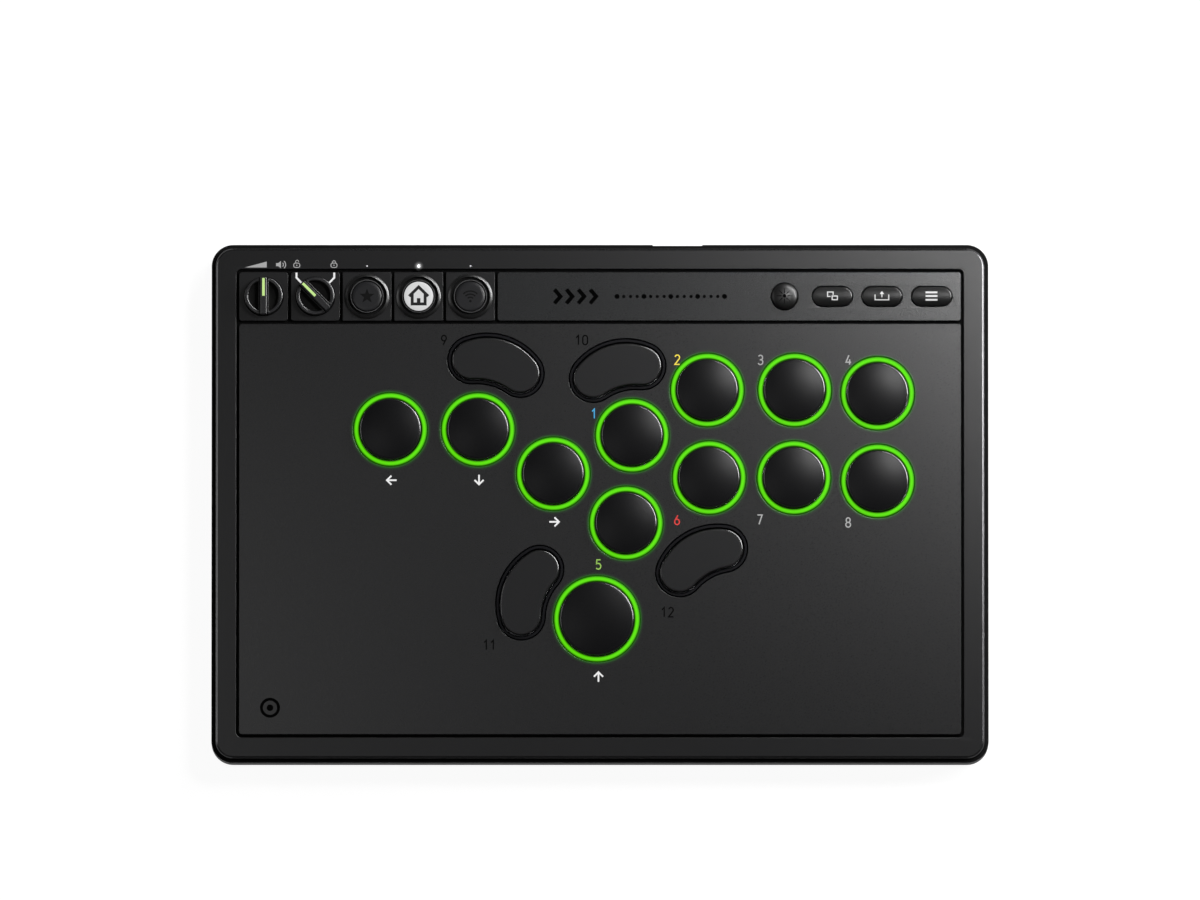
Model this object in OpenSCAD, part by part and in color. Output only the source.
// All-button arcade controller: a low, flat case with twelve lit round buttons, four bean-shaped
// buttons, two knobs and seven small buttons on its top face. Millimetres. +Z is up, +Y is the rear
// edge, and the origin is the centre of the base at the level of the table.

/* [Case] */
// Width of the lower case, left to right
case_w = 300.6; // [298:0.2:312]
// Depth of the lower case, front to back
case_d = 201; // [199:0.5:212]
// Corner radius of the lower case
case_r = 8.4; // [6:0.2:12]
// Height of the top face above the table
top_z = 17.5; // [17.5:0.1:18.5]
// Thickness of the case walls
wall = 3; // [2.6:0.1:3.2]
// Thickness of the case floor
floor_t = 2; // [1.8:0.1:2.2]
// Thickness of the rubber mat under the case
mat_t = 1.5; // [1.5:0.1:2]
// Width of the ledge of lower case that shows round the top frame
ledge = 1.4; // [1:0.1:1.6]
// Height of the top frame above that ledge
frame_step = 2.5; // [2.4:0.1:3]

/* [Top face] */
// Width of the opening in the top frame
opening_w = 281.5; // [280:0.5:284]
// Depth of the opening in the top frame
opening_d = 181.7; // [181.7:0.1:183]
// Width of the grooves between the frame and the panels
groove = 1.15; // [0.8:0.05:1.3]
// Thickness of the panels
panel_t = 2; // [1.6:0.1:2.2]
// Thickness of the deck that carries the panels
deck_t = 1.2; // [1:0.1:1.3]
// Depth of the control strip along the rear
strip_d = 18.9; // [18.5:0.1:19.2]
// Distance from one control tile to the next
tile_pitch = 20; // [19.6:0.1:20.2]

/* [Round and bean buttons] */
// Distance between the two rows of action buttons
row_pitch = 34; // [33:0.5:36]
// Radius of the ordinary caps
cap_r = 11.75; // [11.4:0.05:11.8]
// Radius of the large jump cap
jump_cap_r = 14.2; // [13.8:0.1:14.4]
// Width of the light ring round each cap
ring_w = 2.1; // [1.6:0.1:2.2]
// Height of the caps' rims above the top face
cap_rise = 2.4; // [2:0.1:3]
// Height of the bean caps above the top face
bean_rise = 1.6; // [1.2:0.1:2]
// Travel of the key switches
key_travel = 3; // [2.4:0.1:3]

/* [Small buttons and knobs] */
// Radius of the two knobs
knob_r = 7.35; // [6.5:0.05:7.8]
// Height of the knobs' rims above the top face
knob_rise = 3.4; // [2.5:0.1:5]
// Radius of the three round buttons in collars
round_r = 6.4; // [6:0.1:6.5]
// Radius of the domed light button
dome_r = 5.1; // [4.6:0.1:5.3]
// Length of the three pill-shaped buttons
pill_l = 15.4; // [14:0.1:16]
// Width of the three pill-shaped buttons
pill_w = 7.5; // [7:0.1:8]
// Travel of the small buttons
small_travel = 0.8; // [0.4:0.1:0.8]

/* [Hidden] */
$fn = 96;
fit = 0.05;                               // play each side of a leg in its slot
gap = 0.3;                                // play round a moving cap
over = 1;                                 // how far a cutting shape runs past what it cuts

// Levels, from the table up
floor_z = mat_t + floor_t;
board_z = floor_z + 2.5;                  // underside of both circuit boards
board_t = 1.6;
seat_z = board_z + board_t;               // what the switches stand on
plate_z = seat_z + 1;                     // underside of the switch plate
plate_t = 1.2;
stem_z = seat_z + 8;                      // top of a switch stem at rest
panel_z = top_z - panel_t;                // underside of the panels
deck_z = panel_z - deck_t;                // underside of the deck
ledge_z = top_z - frame_step;

// Areas of the top face
panel_w = opening_w - 2 * groove;
rear_y = opening_d / 2 - groove;          // rear edge of the control strip
strip_y = rear_y - strip_d / 2;           // line through the control strip
main_d = opening_d - 3 * groove - strip_d;
main_y = -opening_d / 2 + groove + main_d / 2;
tile_w = tile_pitch - groove;
tiles = 5;
tile_x = [for (i = [0:tiles - 1]) -panel_w / 2 + tile_w / 2 + i * tile_pitch];
strip_x0 = -panel_w / 2 + tiles * tile_pitch;
strip_w = panel_w / 2 - strip_x0;

// Key buttons: name, x, y, cap radius (0 for a bean) and turn
top_row = [[12.4, 26.3], [41.5, 43.9], [75.3, 43.9], [107.4, 42.6]];
low_row_x = [10.1, 42.2, 75, 107.4];
ROUND_KEYS = concat(
    [["left", -81.1, 28.6, cap_r, 0], ["down", -47.2, 28.6, cap_r, 0],
     ["right", -18.1, 11.4, cap_r, 0], ["jump", -1.2, -44.9, jump_cap_r, 0]],
    [for (i = [0:3]) [str("action_", i + 1), top_row[i][0], top_row[i][1], cap_r, 0]],
    [for (i = [0:3]) [str("action_", i + 5), low_row_x[i], top_row[i][1] - row_pitch, cap_r, 0]]
);
BEAN_KEYS = [["bean_1", -39, 57.5, 0, -15.7], ["bean_2", 5.6, 55.4, 0, 14.6],
             ["bean_3", 37, -18.2, 0, 29], ["bean_4", -31.3, -33, 0, 68.5]];
KEYS = concat(ROUND_KEYS, BEAN_KEYS);
bean_switch = [0, -2.2];                  // the switch under a bean, from the bean's own centre

// Bean outline of the hole in the panel: end radius, centre-line radius, waist radius, half angle
bean_end_r = 9.45;
bean_mid_r = 16.05;
bean_waist_r = 19.5;
bean_half = 37.4;
bean_crown = 8;                           // from a bean's centre to its outer arc
bean_band = 2.05;                         // from the panel's hole in to the cap

// Switch sizes
switch_w = 13.8;
flange_w = 15;
upper_w = 13.4;
stem_size = [10, 4.4];
leg_x = 2.85;
leg_size = [1.1, 2.9, 3];

// Windows in the switch plate that let the lamps on the board light the rings
lamp_window_r = 1.4;
lamp_window_reach = 1.3;                  // from the cap's edge out to a window's centre
lamp_angles = [45, 135, 225, 315];

// Small controls: name, x and hole radius or kind
ROUND_BUTTONS = [["profile_button", tile_x[2]], ["home_button", tile_x[3]], ["link_button", tile_x[4]]];
PILLS = [["view_button", 89.9], ["share_button", 109.1], ["menu_button", 128.3]];
dome_x = 71.4;
shaft_r = 2.9;
plunger_r = 1.5;
lip_z = deck_z - 0.1;                     // top of the lip that keeps a small button in
lip_t = 0.8;
plunger_z = seat_z + 2.8;

// Rear connectors
usb_x = 30;
usb_plug = [13, 7];                       // recess for the body of the plug
usb_plug_depth = 4.6;
usb_notch = [19.5, 0.4];
usb_shell = [8.94, 3.26];
jack_x = -125;
jack_bore_r = 1.8;
jack_bore_l = 13;
jack_nose_r = 2.9;

// Fixings: case screws go up into bosses under the deck, and posts carry the boards
SCREWS = [[-142, -92.5], [-71, -92.5], [0, -92.5], [71, -92.5], [142, -92.5],
          [-142, 0], [142, 0], [-142, 92.5], [0, 92.5], [142, 92.5]];
MAIN_POSTS = [[-86, -50], [-86, 61], [113, -50], [113, 61], [60, -42], [-64, -4], [58.5, 26.9], [91.2, 26.2]];
CONTROL_POSTS = [[-120.2, strip_y], [-30, strip_y], [20, strip_y], [99.5, strip_y]];
screw_r = 1.4;
boss_r = 3.2;
main_board = [[-93, -60], [121, 69]];     // opposite corners
control_board = [[-137, 71.6], [137, 89]];

STATIC_NODES = ["bottom_case", "top_frame", "main_panel", "control_panel", "control_tiles",
                "light_rings", "bean_bezels", "button_collars", "switch_plate", "switch_housings",
                "main_board", "control_board", "tact_switches", "rotary_bases", "battery_pack",
                "usb_c_port", "headset_jack", "rubber_mat", "case_screws"];
SMALL_NODES = ["volume_knob", "lock_knob", "profile_button", "home_button", "link_button",
               "light_button", "view_button", "share_button", "menu_button"];

// ---- Outlines ----

// Points of an arc about c, without its last point
function arc(c, r, a0, a1, n) =
    [for (i = [0:n - 1]) let (a = a0 + (a1 - a0) * i / n) c + r * [cos(a), sin(a)]];

// Bean outline, drawn in from the panel's hole by inset: crown arc, right end, waist and left end
function bean(inset) =
    let (end_r = bean_end_r - inset,
         waist_r = bean_waist_r + inset,
         end_x = bean_mid_r * sin(bean_half),
         end_y = bean_mid_r * cos(bean_half),
         waist_y = end_y - sqrt((end_r + waist_r) ^ 2 - end_x ^ 2),
         join = atan2(end_y - waist_y, end_x),
         centre = [0, bean_mid_r + bean_end_r - bean_crown])
    [for (p = concat(
        arc([0, 0], bean_mid_r + end_r, 90 + bean_half, 90 - bean_half, 14),
        arc([end_x, end_y], end_r, 90 - bean_half, join - 180, 16),
        arc([0, waist_y], waist_r, join, 180 - join, 8),
        arc([-end_x, end_y], end_r, -join, bean_half - 270, 16))) p - centre];

module rounded_rect(w, d, r) {
    square([w - 2 * r, d], center = true);
    square([w, d - 2 * r], center = true);
    for (x = [-1, 1], y = [-1, 1]) translate([x * (w / 2 - r), y * (d / 2 - r)]) circle(r);
}

module pill_shape(l, w) {
    square([l - w, w], center = true);
    for (x = [-1, 1]) translate([x * (l - w) / 2, 0]) circle(w / 2);
}

module slab(w, d, r, z0, z1) {
    translate([0, 0, z0]) linear_extrude(z1 - z0) rounded_rect(w, d, r);
}

module rod(r, z0, z1) {
    translate([0, 0, z0]) cylinder(r = r, h = z1 - z0);
}

module block(w, d, z0, z1) {
    translate([-w / 2, -d / 2, z0]) cube([w, d, z1 - z0]);
}

module bean_slab(inset, z0, z1) {
    translate([0, 0, z0]) linear_extrude(z1 - z0) polygon(bean(inset));
}

module pill_slab(l, w, z0, z1) {
    translate([0, 0, z0]) linear_extrude(z1 - z0) pill_shape(l, w);
}

module box_between(corners, z0, z1) {
    size = corners[1] - corners[0];
    translate([corners[0][0], corners[0][1], z0]) cube([size[0], size[1], z1 - z0]);
}

module at_key(k) {
    translate([k[1], k[2], 0]) rotate(k[4]) children();
}

// The switch sits under the middle of a round cap, and a little below a bean's centre
module at_switch(k) {
    at_key(k) translate(k[3] == 0 ? bean_switch : [0, 0]) children();
}

module at_rear(x, z) {
    translate([x, case_d / 2, z]) rotate([90, 0, 0]) children();
}

// Hole through the deck or a panel for key k, wide enough for its ring or bezel
module key_hole(k, z0, z1, grow) {
    at_key(k)
        if (k[3] == 0) bean_slab(-grow, z0, z1);
        else rod(k[3] + 0.4 + ring_w + 0.15 + grow, z0, z1);
}

// ---- Case ----

module bottom_case() {
    inner_w = case_w - 2 * wall;
    inner_d = case_d - 2 * wall;
    usb_z = seat_z + usb_shell[1] / 2;
    jack_z = seat_z + 2.6;
    color("#141416") difference() {
        union() {
            difference() {
                slab(case_w, case_d, case_r, mat_t, ledge_z);
                slab(inner_w, inner_d, case_r - wall, floor_z, ledge_z + over);
            }
            for (p = MAIN_POSTS) translate(p) {
                rod(3, floor_z - over, board_z);
                rod(1.8, board_z - over, plate_z);
            }
            for (p = CONTROL_POSTS) translate(p) {
                rod(2.6, floor_z - over, board_z);
                rod(1.2, board_z - over, seat_z + 0.6);
            }
            // Thick part of the rear wall that the plug recess is sunk into
            translate([usb_x, case_d / 2 - wall - 1.5, 0]) block(18, 5, floor_z - over, deck_z - gap);
        }
        for (p = SCREWS) translate(p) {
            rod(1.6, mat_t - over, floor_z + over);
            rod(2.9, mat_t - over, mat_t + 1.3);
        }
        // Shallow notch, plug recess and socket mouth of the USB port
        translate([usb_x, case_d / 2, 0]) block(usb_notch[0], 2 * usb_notch[1], mat_t - over, ledge_z + over);
        at_rear(usb_x, usb_z) translate([0, 0, -over])
            linear_extrude(over + usb_plug_depth + usb_notch[1]) pill_shape(usb_plug[0], usb_plug[1]);
        at_rear(usb_x, usb_z) linear_extrude(10)
            pill_shape(usb_shell[0] + 0.2, usb_shell[1] + 0.2);
        at_rear(jack_x, jack_z) translate([0, 0, -over]) cylinder(r = jack_nose_r + 0.1, h = wall + 2 * over);
    }
}

module top_frame() {
    deck_play = 0.4;
    color("#3a3a3d") difference() {
        union() {
            difference() {
                slab(case_w - 2 * ledge, case_d - 2 * ledge, case_r - ledge, ledge_z, top_z);
                slab(opening_w, opening_d, 1.5, ledge_z - over, top_z + over);
            }
            slab(case_w - 2 * wall - 2 * deck_play, case_d - 2 * wall - 2 * deck_play,
                 case_r - wall - deck_play, deck_z, panel_z);
            for (p = SCREWS) translate(p) rod(boss_r, floor_z, deck_z + 0.5);
            // Posts that clamp the switch plate on the case posts
            for (p = MAIN_POSTS) translate(p) rod(2.4, plate_z + plate_t, deck_z + 0.5);
        }
        for (p = SCREWS) translate(p) rod(screw_r + fit, floor_z - over, floor_z + 8);
        for (k = KEYS) key_hole(k, deck_z - over, panel_z + over, 0.1);
        for (b = ROUND_BUTTONS) translate([b[1], strip_y]) rod(round_r + 0.5, deck_z - over, panel_z + over);
        for (x = [tile_x[0], tile_x[1]]) translate([x, strip_y]) rod(3.3, deck_z - over, panel_z + over);
        translate([dome_x, strip_y]) rod(dome_r + 0.4, deck_z - over, panel_z + over);
        for (b = PILLS) translate([b[1], strip_y])
            pill_slab(pill_l + 0.8, pill_w + 0.8, deck_z - over, panel_z + over);
        // Holes for the three indicator light pipes, in line with the collared buttons
        for (b = ROUND_BUTTONS) translate([b[1], strip_y + 11.8]) rod(0.5, deck_z - over, top_z + over);
    }
}

module rubber_mat() {
    color("#1c1c1c") slab(case_w - 28, case_d - 28, 6, 0, mat_t);
}

module case_screws() {
    color("silver") for (p = SCREWS) translate(p) difference() {
        union() {
            rod(2.6, mat_t + 0.1, mat_t + 1.3);
            rod(screw_r, mat_t + 1, floor_z + 7);
        }
        translate([0, 0, mat_t]) cylinder(r = 1.2, h = 0.9, $fn = 6);
    }
}

// ---- Panels ----

module main_panel() {
    color("#303033") difference() {
        translate([0, main_y]) slab(panel_w, main_d, 0.8, panel_z, top_z);
        for (k = KEYS) key_hole(k, panel_z - over, top_z + over, 0);
    }
}

module control_panel() {
    color("#36363a") difference() {
        translate([strip_x0 + strip_w / 2, strip_y]) slab(strip_w, strip_d, 0.8, panel_z, top_z);
        translate([dome_x, strip_y]) rod(dome_r + 0.25, panel_z - over, top_z + over);
        for (b = PILLS) translate([b[1], strip_y])
            pill_slab(pill_l + 0.5, pill_w + 0.5, panel_z - over, top_z + over);
    }
}

module control_tiles() {
    color("#2c2c2e") for (i = [0:tiles - 1]) translate([tile_x[i], strip_y]) difference() {
        slab(tile_w, strip_d, 0.8, panel_z, top_z);
        rod(i < 2 ? 3.3 : 8, panel_z - over, top_z + over);
    }
}

// ---- Rings, bezels and collars ----

module light_rings() {
    color("#5cf00a") for (k = ROUND_KEYS) at_key(k) difference() {
        union() {
            rod(k[3] + 0.4 + ring_w, deck_z - 1.1, top_z - 0.05);
            rod(k[3] + 0.4 + ring_w + 1.1, deck_z - 1.1, deck_z);
        }
        rod(k[3] + 0.4, deck_z - 2, top_z + over);
    }
}

module bean_bezels() {
    color("#101012") for (k = BEAN_KEYS) at_key(k) difference() {
        union() {
            bean_slab(0.15, deck_z - 1.1, top_z - 0.15);
            bean_slab(-0.8, deck_z - 1.1, deck_z);
        }
        bean_slab(bean_band - 0.35, deck_z - 2, top_z + over);
    }
}

// Raised ring: a rounded shoulder outside, and a funnel inside that runs down to the button
module button_collars() {
    crest = [7.95, top_z + 1.3];
    outer_r = 8.7;
    inner_r = round_r + 0.2;
    color("#1a1a1c") for (b = ROUND_BUTTONS) translate([b[1], strip_y]) rotate_extrude()
        polygon(concat(
            [[inner_r, panel_z], [7.85, panel_z], [7.85, top_z], [outer_r, top_z],
             [outer_r, crest[1] - 0.75]],
            arc([outer_r - 0.75, crest[1] - 0.75], 0.75, 0, 90, 6),
            [crest, [inner_r, top_z - 0.3]]));
}

// ---- Key buttons ----

module cap_mount(ceiling) {
    block(9.6, 4, stem_z, ceiling + 0.2);
    for (x = [-1, 1]) translate([x * leg_x, 0])
        block(leg_size[0], leg_size[1], stem_z - leg_size[2], stem_z + 0.2);
}

module round_cap(r) {
    skin = 1.3;
    rim_z = top_z + cap_rise;
    crown = 0.9;
    round_over = 0.6;
    skirt_z = stem_z - 1;
    flat_r = r - round_over;
    rotate_extrude() polygon(concat(
        [for (i = [0:7]) let (s = i / 8) [flat_r * s, rim_z + crown * (1 - s * s)]],
        arc([flat_r, rim_z - round_over], round_over, 90, 0, 5),
        [[r, rim_z - round_over], [r, skirt_z], [r - skin, skirt_z], [r - skin, rim_z - skin - 0.4],
         [0, rim_z - skin]]));
    cap_mount(rim_z - skin);
}

module bean_cap() {
    skin = 1.3;
    top = top_z + bean_rise;
    skirt_z = stem_z + 0.1;
    difference() {
        union() {
            bean_slab(bean_band, skirt_z, top - 0.4);
            bean_slab(bean_band + 0.4, top - 0.4, top);
        }
        bean_slab(bean_band + skin, skirt_z - over, top - skin);
    }
    translate(bean_switch) cap_mount(top - skin);
}

module key_cap(k) {
    color("#161618") at_key(k) if (k[3] == 0) bean_cap(); else round_cap(k[3]);
}

module key_stem(k) {
    color("#b03028") at_switch(k) difference() {
        union() {
            block(stem_size[0], stem_size[1], stem_z - 4.5, stem_z);
            block(12, 6.4, stem_z - 4.55, stem_z - 3.9);
        }
        for (x = [-1, 1]) translate([x * leg_x, 0])
            block(leg_size[0] + 2 * fit, leg_size[1] + 2 * fit, stem_z - leg_size[2] - 0.1, stem_z + over);
        rod(1.9, stem_z - 5, stem_z - 2);
    }
}

module switch_housings() {
    roof_z = stem_z - 3;
    cavity_w = 12.6;
    color("#242426") for (k = KEYS) at_switch(k) {
        difference() {
            union() {
                block(switch_w, switch_w, seat_z, plate_z + plate_t + 0.1);
                block(flange_w, flange_w, plate_z + plate_t, plate_z + plate_t + 0.8);
                block(upper_w, upper_w, plate_z + plate_t, roof_z);
                rod(1.6, board_z - 1, seat_z + 0.2);
            }
            block(cavity_w, cavity_w, stem_z - 4.6 - key_travel, roof_z - 0.8);
            block(stem_size[0] + 0.2, stem_size[1] + 0.2, roof_z - over, roof_z + over);
        }
        rod(0.8, seat_z + 0.2, seat_z + 2.2);
    }
}

module switch_plate() {
    color("#8c8c90") difference() {
        box_between(main_board, plate_z, plate_z + plate_t);
        for (k = KEYS) at_switch(k)
            block(switch_w + 0.1, switch_w + 0.1, plate_z - over, plate_z + plate_t + over);
        for (k = ROUND_KEYS, a = lamp_angles)
            at_key(k) rotate(a) translate([k[3] + lamp_window_reach, 0])
                rod(lamp_window_r, plate_z - over, plate_z + plate_t + over);
    }
}

// ---- Boards and what stands on them ----

module main_board() {
    color("#0e3a24") difference() {
        box_between(main_board, board_z, seat_z);
        for (k = KEYS) at_switch(k) rod(1.7, board_z - over, seat_z + over);
        for (p = MAIN_POSTS) translate(p) rod(1.9, board_z - over, seat_z + over);
    }
}

module control_board() {
    color("#0e3a24") difference() {
        union() {
            box_between(control_board, board_z, seat_z);
            translate([usb_x, 90]) block(14, 6, board_z, seat_z);
            translate([jack_x, 92]) block(10, 8, board_z, seat_z);
        }
        for (p = CONTROL_POSTS) translate(p) rod(1.3, board_z - over, seat_z + over);
    }
}

module tact_switches() {
    xs = concat([for (b = ROUND_BUTTONS) b[1]], [dome_x], [for (b = PILLS) b[1]]);
    color("#1e1e20") for (x = xs) translate([x, strip_y]) difference() {
        block(6, 6, seat_z, seat_z + 3.5);
        rod(plunger_r + 0.1, plunger_z - small_travel - 0.2, seat_z + 4);
    }
}

// Volume potentiometer on the left and two-way rotary switch on the right
module rotary_bases() {
    bushing_z = deck_z - 0.7;
    color("#55555a") for (i = [0, 1]) translate([tile_x[i], strip_y]) difference() {
        union() {
            block(11 + i, 11 + i, seat_z, bushing_z - 1 - i);
            rod(4, seat_z + 1, bushing_z);
        }
        rod(shaft_r + fit, seat_z + 2, bushing_z + over);
    }
}

module battery_pack() {
    color("#9aa0a4") translate([-115, -60.5]) slab(36, 56, 1.5, floor_z, floor_z + 5.5);
}

module usb_c_port() {
    back_y = case_d / 2 - usb_notch[1] - usb_plug_depth;      // mouth of the socket
    length = 7.3;
    color("silver") translate([usb_x, back_y, seat_z + usb_shell[1] / 2]) rotate([90, 0, 0]) {
        difference() {
            linear_extrude(length) pill_shape(usb_shell[0], usb_shell[1]);
            translate([0, 0, -over]) linear_extrude(over + length - 0.8)
                pill_shape(usb_shell[0] - 0.6, usb_shell[1] - 0.6);
        }
        translate([-3.35, -0.35, 0.7]) cube([6.7, 0.7, length - 1]);
    }
}

module headset_jack() {
    jack_z = seat_z + 2.6;
    color("#18181a") difference() {
        union() {
            translate([jack_x, case_d / 2 - wall - 5.6]) block(6.5, 10.8, seat_z, seat_z + 5.2);
            at_rear(jack_x, jack_z) cylinder(r = jack_nose_r, h = wall + over);
        }
        at_rear(jack_x, jack_z) translate([0, 0, -over]) cylinder(r = jack_bore_r, h = jack_bore_l + over);
    }
}

// ---- Small buttons and knobs ----

// Lip under the deck that keeps a button in, and the plunger that works its switch
module plunger() {
    rod(plunger_r, plunger_z, lip_z - lip_t + 0.2);
}

module round_button(x) {
    top = top_z + 1.1;
    groove_r = round_r - 0.75;
    color("#161618") translate([x, strip_y]) {
        rotate_extrude() polygon([
            [0, lip_z - lip_t], [round_r + 1, lip_z - lip_t], [round_r + 1, lip_z], [round_r, lip_z],
            [round_r, top - 0.25], [round_r - 0.25, top], [groove_r, top], [groove_r, top - 0.3],
            [groove_r - 0.2, top - 0.3], [groove_r - 0.2, top - 0.05], [0, top - 0.05]]);
        plunger();
    }
}

module light_button() {
    side_z = top_z + 0.9;
    dome_h = 2.3;
    color("#161618") translate([dome_x, strip_y]) {
        rotate_extrude() polygon(concat(
            [[0, lip_z - lip_t], [dome_r + 1, lip_z - lip_t], [dome_r + 1, lip_z], [dome_r, lip_z]],
            [for (i = [0:9]) let (a = 9 * i) [dome_r * cos(a), side_z + dome_h * sin(a)]],
            [[0, side_z + dome_h]]));
        plunger();
    }
}

module pill_button(x) {
    top = top_z + 1.3;
    color("#161618") translate([x, strip_y]) {
        pill_slab(pill_l + 1.6, pill_w + 1.6, lip_z - lip_t, lip_z);
        pill_slab(pill_l, pill_w, lip_z - 0.1, top - 0.35);
        pill_slab(pill_l - 0.7, pill_w - 0.7, top - 0.5, top);
        plunger();
    }
}

// Knob with a grip bar across it between two D-shaped pockets, pointing along +Y before its turn
module knob(x, turn) {
    base_z = top_z + gap;
    rim_z = top_z + knob_rise;
    bar_w = 2.9;
    pocket_r = knob_r - 1.3;
    color("#1b1b1d") translate([x, strip_y]) rotate(turn) {
        difference() {
            rod(knob_r, base_z, rim_z);
            difference() {
                rod(pocket_r, top_z + 1, rim_z + over);
                block(bar_w, 2 * knob_r, base_z, rim_z + 2 * over);
            }
        }
        intersection() {
            rod(knob_r, rim_z - 0.2, rim_z + 0.9);
            block(bar_w, 2 * knob_r, rim_z - 0.2, rim_z + 0.9);
        }
        rod(shaft_r, seat_z + 2.2, base_z + 0.2);
    }
}

// ---- Nodes ----

bottom_case();
top_frame();
main_panel();
control_panel();
control_tiles();
light_rings();
bean_bezels();
button_collars();
switch_plate();
switch_housings();
main_board();
control_board();
tact_switches();
rotary_bases();
battery_pack();
usb_c_port();
headset_jack();
rubber_mat();
case_screws();
knob(tile_x[0], 0);  // volume_knob
knob(tile_x[1], 45);  // lock_knob
light_button();
for (b = ROUND_BUTTONS) round_button(b[1]);
for (b = PILLS) pill_button(b[1]);
for (k = KEYS) key_cap(k);
for (k = KEYS) key_stem(k);
